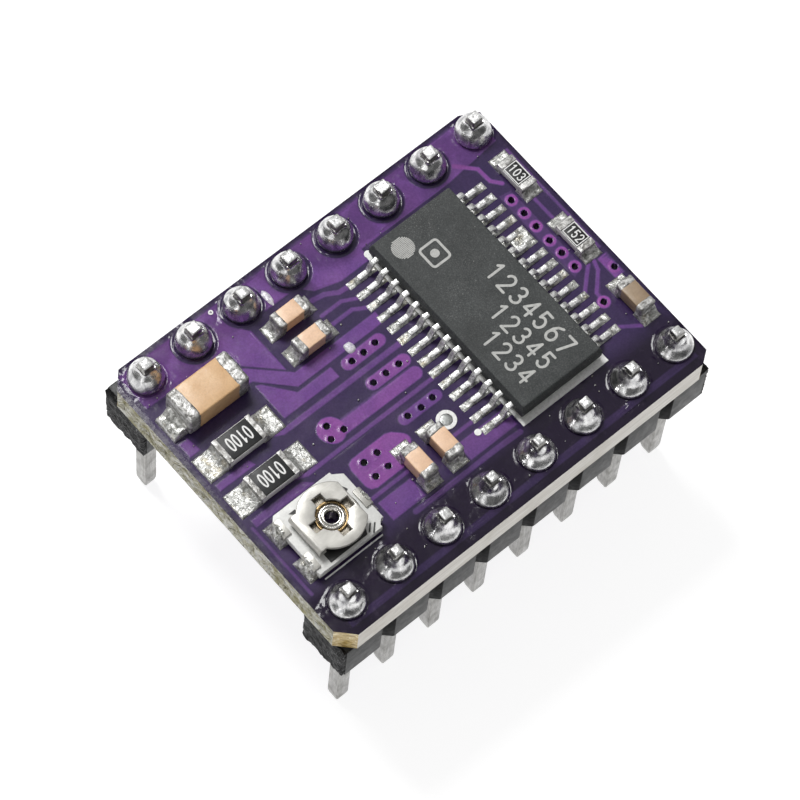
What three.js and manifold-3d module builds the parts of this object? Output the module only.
// Stepper driver module: a small carrier board on two eight-way pin strips,
// with a driver chip, a current-setting trimmer, and ten chip resistors and
// capacitors.
// Millimetres, +Z up. X runs along the board, Y across it, from pin row a to
// pin row b. The origin is the middle of the pin grid at the level of the pin
// tips, so the module stands on its pins.

import * as THREE from "three";
import { mergeVertices } from "three/addons/utils/BufferGeometryUtils.js";
import Module from "manifold-3d";

const wasm = await Module();
wasm.setup();

// ---------------------------------------------------------------- dimensions
const PITCH = 2.54; // pin pitch
const PINS = 8; // pins in a row
const ROW_SPACING = 12.7; // between the two pin rows
const PIN = 0.64; // square pin
const PIN_BELOW = 6.5; // pin length under the strip
const PIN_ABOVE = 1.5; // pin tip over the board's top face
const STRIP_W = 2.54; // plastic strip: width, height, notch at each pitch
const STRIP_H = 2.54;
const STRIP_NOTCH = 0.3;
const BOARD_T = 1.6; // laminate
const BOARD = { x0: -10.15, x1: 9.8, y0: -7.72, y1: 7.38 };
const BOARD_HOLE_D = 1.0; // plated hole for a pin
const VIA_D = 0.36;
const PAD_T = 0.05; // tinned copper over the board
const SOLDER_R = 0.87; // foot of a pin's solder cone
const SOLDER_H = 1.1;

const CHIP = { x: 3.92, y: -0.05, w: 4.4, l: 9.7, h: 1.15 };
const LEADS = 14; // per side
const LEAD_PITCH = 0.65;
const LEAD_W = 0.25;
const LEAD_TOE = 3.2; // chip centre to lead tip
const CHIP_PAD_IN = 2.25; // chip centre to the inner and outer end of its pads
const CHIP_PAD_OUT = 3.74;

const TRIM = { x: -7.27, y: -3.43 }; // rotor axis
const TRIM_BASE = { x0: -9.15, x1: -5.55, y0: -4.95, y1: -1.78, z0: 0.17, z1: 0.6 };
const ROTOR_R = 1.457;
const ROTOR_TAB = 0.98; // half width of the folded tab
const ROTOR_FOLD = 1.48; // rotor axis to the outside of the fold
const ROTOR_FLAT = 1.12; // rotor axis to the flat opposite the fold
const ROTOR_Z = [0.79, 0.89, 1.08, 1.22]; // wiper plate, then driver plate
const SLOT_ARM = 1.03; // cross slot, arm length and half width
const SLOT_HALF = 0.25;
const EYELET_HOLE_R = 0.25;
const EYELET_R = 0.38;

// Heights of the board's faces over the pin tips.
const Z_STRIP = PIN_BELOW;
const Z_BOARD = Z_STRIP + STRIP_H;
const ZT = Z_BOARD + BOARD_T;

const GAP = 0.01; // between pieces that touch
const pinX = (i) => (i - (PINS - 1) / 2) * PITCH;
const ROWS = { a: -ROW_SPACING / 2, b: ROW_SPACING / 2 };

// ------------------------------------------------------------------- helpers
const part = new THREE.Group();
part.name = "stepper_driver_module";

function material(color, roughness, metalness) {
  return new THREE.MeshStandardMaterial({ color, roughness, metalness });
}

function add(name, geometry, mat, position = [0, 0, 0]) {
  const mesh = new THREE.Mesh(geometry, mat);
  mesh.name = name;
  mesh.position.set(...position);
  part.add(mesh);
  return mesh;
}

// A three.js geometry as a solid, and back.
function solid(geometry) {
  const g = geometry.clone();
  for (const name of Object.keys(g.attributes))
    if (name !== "position") g.deleteAttribute(name);
  const m = mergeVertices(g, 1e-4);
  return new wasm.Manifold(
    new wasm.Mesh({
      numProp: 3,
      vertProperties: new Float32Array(m.attributes.position.array),
      triVerts: new Uint32Array(m.index.array),
    }),
  );
}

function geometryOf(s) {
  const m = s.getMesh();
  const n = m.numProp;
  const v = new Float32Array(m.numVert * 3);
  for (let i = 0; i < m.numVert; i++)
    v.set(m.vertProperties.subarray(i * n, i * n + 3), i * 3);
  const g = new THREE.BufferGeometry();
  g.setAttribute("position", new THREE.BufferAttribute(v, 3));
  g.setIndex(new THREE.BufferAttribute(new Uint32Array(m.triVerts), 1));
  g.computeVertexNormals();
  return g;
}

const join = (list) => list.map(solid).reduce((a, b) => a.add(b));

function box(x0, x1, y0, y1, z0, z1) {
  return new THREE.BoxGeometry(x1 - x0, y1 - y0, z1 - z0).translate(
    (x0 + x1) / 2,
    (y0 + y1) / 2,
    (z0 + z1) / 2,
  );
}

// A flat outline [x, y], with holes, raised from z0 to z1.
function plate(outline, z0, z1, holes = []) {
  const shape = new THREE.Shape(outline.map(([x, y]) => new THREE.Vector2(x, y)));
  for (const hole of holes)
    shape.holes.push(new THREE.Path(hole.map(([x, y]) => new THREE.Vector2(x, y))));
  return new THREE.ExtrudeGeometry(shape, {
    depth: z1 - z0,
    bevelEnabled: false,
  }).translate(0, 0, z0);
}

function circle(cx, cy, r, sides, start = 0) {
  return Array.from({ length: sides }, (_, i) => {
    const a = start + (2 * Math.PI * i) / sides;
    return [cx + r * Math.cos(a), cy + r * Math.sin(a)];
  });
}

function arc(cx, cy, r, a0, a1, steps) {
  return Array.from({ length: steps + 1 }, (_, i) => {
    const a = a0 + ((a1 - a0) * i) / steps;
    return [cx + r * Math.cos(a), cy + r * Math.sin(a)];
  });
}

// A closed skin over rectangular sections [half x, half y, z], low to high.
function tapered(sections, cx = 0, cy = 0) {
  const v = [];
  for (const [hx, hy, z] of sections)
    v.push(cx - hx, cy - hy, z, cx + hx, cy - hy, z, cx + hx, cy + hy, z, cx - hx, cy + hy, z);
  const t = [0, 2, 1, 0, 3, 2];
  for (let s = 0; s + 1 < sections.length; s++)
    for (let k = 0; k < 4; k++) {
      const a = s * 4 + k;
      const b = s * 4 + ((k + 1) % 4);
      t.push(a, b, b + 4, a, b + 4, a + 4);
    }
  const e = (sections.length - 1) * 4;
  t.push(e, e + 1, e + 2, e, e + 2, e + 3);
  const g = new THREE.BufferGeometry();
  g.setAttribute("position", new THREE.Float32BufferAttribute(v, 3));
  g.setIndex(t);
  g.computeVertexNormals();
  return g;
}

// A profile [x, z] carried along Y from y0 to y1.
function profileAlongY(profile, y0, y1) {
  const shape = new THREE.Shape(profile.map(([x, z]) => new THREE.Vector2(x, z)));
  return new THREE.ExtrudeGeometry(shape, { depth: y1 - y0, bevelEnabled: false })
    .rotateX(Math.PI / 2)
    .translate(0, y1, 0);
}

// --------------------------------------------------------------- placements
// Chip resistors and capacitors: centre, length, width, height, turned across
// the board or not, end cap length, and how far and high the solder climbs.
const CHIPS = [
  { name: "bulk_capacitor", x: -7.55, y: 4.03, l: 3.15, w: 1.65, h: 1.32, cap: 0.62, foot: 0.5, climb: 0.8, look: "ceramic", pads: [-7.83, 4.02, 4.0, 1.28, 1.15] },
  { name: "sense_resistor_1", x: -7.83, y: 1.68, l: 2.0, w: 1.24, h: 0.52, cap: 0.36, foot: 0.5, climb: 0.36, look: "resistor", pads: [-7.83, 1.69, 4.0, 1.28, 1.15] },
  { name: "sense_resistor_2", x: -7.84, y: -0.36, l: 2.0, w: 1.24, h: 0.52, cap: 0.36, foot: 0.5, climb: 0.36, look: "resistor", pads: [-7.86, -0.33, 4.0, 1.28, 1.15] },
  { name: "charge_pump_capacitor_1", x: -2.65, y: 4.64, l: 1.6, w: 0.8, h: 0.82, cap: 0.36, foot: 0.28, climb: 0.5, look: "ceramic", pads: [-2.68, 4.68, 2.45, 0.85, 0.75] },
  { name: "charge_pump_capacitor_2", x: -2.68, y: 3.23, l: 1.6, w: 0.8, h: 0.82, cap: 0.36, foot: 0.28, climb: 0.5, look: "ceramic", pads: [-2.66, 3.28, 2.45, 0.85, 0.75] },
  { name: "supply_capacitor_1", x: -2.88, y: -3.76, l: 1.6, w: 0.8, h: 0.84, cap: 0.36, foot: 0.28, climb: 0.5, turned: true, look: "ceramic", pads: [-2.88, -3.66, 0.9, 2.42, 0.75] },
  { name: "supply_capacitor_2", x: -1.5, y: -3.74, l: 1.6, w: 0.8, h: 0.84, cap: 0.36, foot: 0.28, climb: 0.5, turned: true, look: "ceramic", pads: [-1.5, -3.66, 0.9, 2.42, 0.75] },
  { name: "logic_capacitor", x: 8.94, y: -3.78, l: 1.6, w: 0.8, h: 0.8, cap: 0.36, foot: 0.28, climb: 0.5, turned: true, look: "brown", pads: [8.95, -3.72, 0.92, 2.46, 0.75] },
  { name: "pullup_resistor", x: 8.93, y: 3.62, l: 1.6, w: 0.8, h: 0.45, cap: 0.3, foot: 0.28, climb: 0.3, turned: true, look: "resistor", pads: [8.95, 3.69, 0.92, 2.5, 0.75] },
  { name: "mode_resistor", x: 8.93, y: -0.07, l: 1.6, w: 0.8, h: 0.45, cap: 0.3, foot: 0.28, climb: 0.3, turned: true, look: "resistor", pads: [8.95, -0.03, 0.92, 2.5, 0.75] },
];

const VIAS = [
  [-1.86, 1.58], [-1.24, 1.58], [-0.59, 1.62],
  [-1.81, 0.29], [-1.13, 0.29], [-0.46, 0.27],
  [-1.69, -1.73], [-1.02, -1.8], [-0.37, -1.75],
  [-4.56, 0.02], [-4.79, -0.53], [-4.1, -0.52],
  [-4.43, -2.17], [-3.72, -2.18], [-4.45, -2.94], [-3.76, -2.91],
  [8.08, 2.97], [8.1, 2.17], [8.08, 1.4], [8.08, 0.55], [8.1, -0.2],
  [8.1, -1.02], [9.38, -2.07], [7.95, -3.0],
];

// --------------------------------------------------------------------- board
{
  const { x0, x1, y0, y1 } = BOARD;
  const outline = [
    [x0 + 0.7, y0], [x1 - 0.55, y0], [x1, y0 + 0.4],
    [x1, y1 - 0.45], [x1 - 0.85, y1], [x0 + 0.65, y1],
    [x0, y1 - 0.7], [x0, y0 + 0.75],
  ];
  const holes = [];
  for (const y of Object.values(ROWS))
    for (let i = 0; i < PINS; i++)
      holes.push(circle(pinX(i), y, BOARD_HOLE_D / 2, 12).reverse());
  for (const [x, y] of VIAS) holes.push(circle(x, y, VIA_D / 2, 6).reverse());
  const pads = [];
  const pad = (cx, cy, w, l) =>
    pads.push(box(cx - w / 2, cx + w / 2, cy - l / 2, cy + l / 2, ZT - 0.1, ZT + PAD_T));
  for (const { turned, pads: [cx, cy, w, l, each] } of CHIPS)
    for (const s of [-1, 1])
      if (turned) pad(cx, cy + (s * (l - each)) / 2, w, each);
      else pad(cx + (s * (w - each)) / 2, cy, each, l);
  for (let i = 0; i < LEADS; i++)
    for (const s of [-1, 1])
      pad(
        CHIP.x + (s * (CHIP_PAD_IN + CHIP_PAD_OUT)) / 2,
        (i - (LEADS - 1) / 2) * LEAD_PITCH,
        CHIP_PAD_OUT - CHIP_PAD_IN,
        0.36,
      );
  pad(CHIP.x, CHIP.y, 3.0, 6.2);
  pad(-9.05, -2.38, 0.98, 1.14);
  pad(-9.05, -4.28, 0.98, 1.14);
  pad(-5.65, -3.5, 0.7, 1.2);
  const body = pads.map(solid).reduce((a, b) => a.add(b), solid(plate(outline, Z_BOARD, ZT, holes)));
  add("pcb", geometryOf(body), material(0x4a2a66, 0.35, 0));
}

// ------------------------------------------------- pin strips, pins, solder
{
  const end = (PINS * PITCH) / 2;
  const half = STRIP_W / 2;
  const lower = [];
  for (let i = 0; i < PINS; i++) {
    const l = pinX(i) - PITCH / 2;
    const r = pinX(i) + PITCH / 2;
    lower.push([l, -half + STRIP_NOTCH], [l + STRIP_NOTCH, -half], [r - STRIP_NOTCH, -half]);
  }
  lower.push([end, -half + STRIP_NOTCH]);
  const outline = [...lower, ...lower.map(([x, y]) => [-x, -y])];
  const h = PIN / 2 + GAP;
  let plastic = solid(plate(outline, Z_STRIP, Z_BOARD - GAP));
  for (let i = 0; i < PINS; i++)
    plastic = plastic.subtract(
      solid(box(pinX(i) - h, pinX(i) + h, -h, h, Z_STRIP - 1, Z_BOARD + 1)),
    );
  for (const [row, y] of Object.entries(ROWS))
    add(
      "header_strip_" + row,
      geometryOf(plastic),
      material(0x1d1d1f, 0.6, 0),
      [0, y, 0],
    );

  const q = PIN / 2;
  const top = ZT + PIN_ABOVE;
  for (const [row, y] of Object.entries(ROWS))
    for (let i = 0; i < PINS; i++) {
      add(
        "header_pin_" + row + (i + 1),
        tapered([
          [0.12, 0.12, 0], [q, q, 0.6], [q, q, top - 0.3], [0.2, 0.2, top],
        ]),
        material(0xb9b9b6, 0.3, 1),
        [pinX(i), y, 0],
      );
      const r = BOARD_HOLE_D / 2 - 0.03;
      const cone = new THREE.LatheGeometry(
        [
          [0, Z_BOARD + 0.03], [r, Z_BOARD + 0.03], [r, ZT + 0.006],
          [SOLDER_R, ZT + 0.006], [SOLDER_R - 0.02, ZT + 0.12],
          [0.76, ZT + 0.44], [0.63, ZT + 0.76], [0.52, ZT + 0.98],
          [0.475, ZT + SOLDER_H], [0, ZT + SOLDER_H],
        ].map(([x, z]) => new THREE.Vector2(x, z)),
        16,
      ).rotateX(Math.PI / 2);
      const k = q + GAP;
      const joint = solid(cone).subtract(solid(box(-k, k, -k, k, 0, top)));
      add(
        "solder_joint_" + row + (i + 1),
        geometryOf(joint),
        material(0x9a9a98, 0.22, 1),
        [pinX(i), y, 0],
      );
    }
}

// --------------------------------------------------------------- driver chip
{
  const { x, y, w, l, h } = CHIP;
  const lead = [
    [1.8, 0.6], [2.44, 0.6], [2.5, 0.54], [2.66, 0.12], [2.74, 0.06], [LEAD_TOE, 0.06],
    [LEAD_TOE, 0.21], [2.84, 0.21], [2.78, 0.25], [2.6, 0.69], [2.51, 0.75], [1.8, 0.75],
  ];
  const leadY = (i) => (i - (LEADS - 1) / 2) * LEAD_PITCH - y;
  // The bar that ties a side's leads together inside the package is a little
  // thicker than the leads.
  const bar = (grow) =>
    box(1.7 - grow, 1.86 + grow, leadY(0) - 0.16 - grow, leadY(LEADS - 1) + 0.16 + grow, 0.58 - grow, 0.77 + grow);
  const frame = (grow) =>
    join([
      bar(grow),
      ...Array.from({ length: LEADS }, (_, i) =>
        box(1.8, 2.4, leadY(i) - LEAD_W / 2 - grow, leadY(i) + LEAD_W / 2 + grow, 0.6 - grow, 0.75 + grow),
      ),
    ]);
  const leadFrame = join([
    bar(0),
    ...Array.from({ length: LEADS }, (_, i) =>
      profileAlongY(lead, leadY(i) - LEAD_W / 2, leadY(i) + LEAD_W / 2),
    ),
  ]);
  const sides = geometryOf(leadFrame);
  const slots = geometryOf(frame(GAP));
  let body = solid(
    tapered([
      [w / 2 - 0.1, l / 2 - 0.1, 0.12], [w / 2, l / 2, 0.5],
      [w / 2, l / 2, 0.83], [w / 2 - 0.11, l / 2 - 0.11, h],
    ]),
  );
  body = body
    .subtract(solid(slots))
    .subtract(solid(slots.clone().rotateZ(Math.PI).translate(0, -2 * y, 0)))
    .subtract(solid(box(-1.51, 1.51, -3.11, 3.11, 0, 0.27)))
    .subtract(solid(box(-1.21, 1.21, -2.21, 2.21, 0.2, 0.52)));
  add("driver_chip_package", geometryOf(body), material(0x3a3c3d, 0.6, 0), [x, y, ZT]);
  add("driver_chip_heat_pad", tapered([[1.5, 3.1, PAD_T + GAP], [1.5, 3.1, 0.26]]), material(0xb07a50, 0.35, 1), [x, y, ZT]);
  add("driver_chip_die", tapered([[1.2, 2.2, 0.27], [1.2, 2.2, 0.51]]), material(0x5a6068, 0.2, 0.4), [x, y, ZT]);
  // Row a of the leads is on the +X side, row b on the -X side.
  add("driver_chip_leads_a", sides, material(0xc8c8c6, 0.25, 1), [x, y, ZT]);
  const other = sides.clone().rotateZ(Math.PI).translate(0, -2 * y, 0);
  add("driver_chip_leads_b", other, material(0xc8c8c6, 0.25, 1), [x, y, ZT]);
}

// ------------------------------------------------------------------- trimmer
{
  const { x0, x1, y0, y1, z0, z1 } = TRIM_BASE;
  const at = [TRIM.x, TRIM.y, ZT];
  const ceramic = material(0xe9e8e2, 0.5, 0);
  const metal = () => material(0xc9c8c2, 0.3, 1);
  const local = ([x, y]) => [x - TRIM.x, y - TRIM.y];

  const n = 0.3;
  const base = [
    [x0, y0], [x1 - n, y0], [x1 - n, y0 + 0.12], [x1 - 0.12, y0 + n], [x1, y0 + n],
    [x1, y1 - n - 0.1], [x1 - 0.14, y1 - n], [x1 - n - 0.1, y1 - 0.12], [x1 - n - 0.12, y1],
    [x0 + 0.2, y1], [x0, y1 - 0.2],
  ].map(local);
  add(
    "trimmer_base",
    plate(base, z0, z1, [circle(0, 0, EYELET_R + 0.02, 20).reverse()]),
    ceramic,
    at,
  );

  // Printed resistive track, a horseshoe open towards the end terminals.
  const r = 0.72;
  const gap = 0.42;
  const a = Math.asin(gap / r);
  const track = [
    [-1.2, -gap], ...arc(0, 0, r, Math.PI + a, 3 * Math.PI - a, 20), [-1.2, gap],
    [-1.2, 1.36], [0.9, 1.36], [1.3, 0.9], [1.3, -0.95], [0.9, -1.4], [-1.2, -1.4],
  ];
  add("trimmer_track", plate(track.reverse(), z1 + 0.005, z1 + 0.035), material(0x191a1a, 0.4, 0), at);

  // Rotor: one folded sheet, the driver plate above and the wiper plate below.
  const [w0, w1, d0, d1] = ROTOR_Z;
  const ta = Math.asin(ROTOR_TAB / ROTOR_R);
  const fa = Math.acos(ROTOR_FLAT / ROTOR_R);
  const outline = [
    [-ROTOR_FOLD, -ROTOR_TAB],
    ...arc(0, 0, ROTOR_R, Math.PI + ta, 2 * Math.PI - fa, 14),
    ...arc(0, 0, ROTOR_R, fa, Math.PI - ta, 14),
    [-ROTOR_FOLD, ROTOR_TAB],
  ];
  const c = 0.62;
  const s = SLOT_HALF;
  const b = Math.asin(s / c);
  const cross = [];
  for (let k = 0; k < 4; k++) {
    const t = (k * Math.PI) / 2;
    const turn = ([px, py]) => [
      px * Math.cos(t) - py * Math.sin(t),
      px * Math.sin(t) + py * Math.cos(t),
    ];
    cross.push(turn([SLOT_ARM, -s]), turn([SLOT_ARM, s]), ...arc(0, 0, c, t + b, t + Math.PI / 2 - b, 4));
  }
  const rotor = join([
    plate(outline, d0, d1, [cross.reverse()]),
    box(-ROTOR_FOLD, -ROTOR_FOLD + 0.12, -ROTOR_TAB, ROTOR_TAB, w0, d1),
    plate(
      [
        [-ROTOR_FOLD, -0.8], [-0.9, -0.8], ...arc(0, 0, 1.2, -2.3, 2.3, 20), [-0.9, 0.8], [-ROTOR_FOLD, 0.8],
      ],
      w0, w1,
      [circle(0, 0, EYELET_R + 0.04, 20).reverse()],
    ),
    box(0.9, 1.12, -0.16, 0.16, z1 + 0.045, w0 + 0.02),
  ]);
  add("trimmer_rotor", geometryOf(rotor), metal(), at);

  const eyelet = new THREE.LatheGeometry(
    [
      [EYELET_HOLE_R, z0 + 0.01], [EYELET_R, z0 + 0.01], [EYELET_R, 0.91], [0.55, 0.92],
      [0.56, 0.97], [0.48, 1.03], [0.36, 1.01], [0.28, 0.92], [EYELET_HOLE_R, 0.8],
      [EYELET_HOLE_R, z0 + 0.01],
    ].map(([px, pz]) => new THREE.Vector2(px, pz)),
    20,
  ).rotateX(Math.PI / 2);
  add("trimmer_eyelet", geometryOf(solid(eyelet)), metal(), at);

  // Wiper terminal: under the base from the eyelet, up its edge and over it.
  const e = x1 - TRIM.x;
  const wy0 = -0.5;
  const wy1 = 0.4;
  const f0 = PAD_T + 0.01;
  add(
    "trimmer_wiper_terminal",
    geometryOf(
      join([
        box(-0.6, e + 0.12, wy0, wy1, f0, z0 - GAP),
        box(e + GAP, e + 0.12, wy0, wy1, f0, z1 + 0.13),
        box(e - 0.28, e + 0.12, wy0, wy1, z1 + GAP, z1 + 0.13),
      ]),
    ),
    metal(),
    at,
  );

  // End terminals: clips round the base's edge, with the solder at their foot.
  const g0 = x0 - TRIM.x;
  [[-2.86, -2.04], [-4.7, -3.88]].forEach(([ya, yb], i) => {
    const la = ya - TRIM.y;
    const lb = yb - TRIM.y;
    add(
      "trimmer_end_terminal_" + (i + 1),
      geometryOf(
        join([
          box(g0 - 0.12, g0 + 0.5, la, lb, f0, z0 - GAP),
          box(g0 - 0.12, g0 - GAP, la, lb, f0, z1 + 0.13),
          box(g0 - 0.12, g0 + 0.3, la, lb, z1 + GAP, z1 + 0.13),
          profileAlongY(
            [[g0 - 0.36, f0], [g0 - 0.05, f0], [g0 - 0.05, 0.55], [g0 - 0.14, 0.5], [g0 - 0.26, 0.22]],
            la + 0.04, lb - 0.04,
          ),
        ]),
      ),
      metal(),
      at,
    );
  });
}

// ------------------------------------------------- resistors and capacitors
const LOOKS = {
  ceramic: () => material(0xdcae7e, 0.4, 0),
  brown: () => material(0x8a6f55, 0.4, 0),
  resistor: () => material(0x2b2b2d, 0.35, 0),
};
for (const { name, x, y, l, w, h, cap, foot, climb, turned, look } of CHIPS) {
  const z0 = PAD_T + 0.01;
  const hx = l / 2;
  const hy = w / 2;
  const c = look === "resistor" ? 0.02 : 0.05;
  const solids = [
    tapered([
      [hx - 0.03, hy - 0.03 - c, z0 + 0.01], [hx - 0.03, hy - 0.03, z0 + 0.01 + c],
      [hx - 0.03, hy - 0.03, z0 + h - 0.02 - c], [hx - 0.03, hy - 0.03 - c, z0 + h - 0.02],
    ]),
  ];
  for (const s of [-1, 1]) {
    const m = s * (hx - cap / 2);
    solids.push(
      tapered(
        [
          [cap / 2 - c, hy - c, z0], [cap / 2, hy, z0 + c],
          [cap / 2, hy, z0 + h - c], [cap / 2 - c, hy - c, z0 + h],
        ],
        m,
      ),
    );
    const wedge = [
      [hx + foot, z0], [hx - 0.08, z0], [hx - 0.08, z0 + climb], [hx + 0.02, z0 + climb], [hx + foot * 0.4, z0 + climb * 0.35],
    ];
    solids.push(
      profileAlongY(s > 0 ? wedge : wedge.map(([px, pz]) => [-px, pz]).reverse(), -hy + 0.03, hy - 0.03),
    );
  }
  const mesh = add(name, geometryOf(join(solids)), LOOKS[look](), [x, y, ZT]);
  if (turned) mesh.rotation.z = Math.PI / 2;
}

export default part;
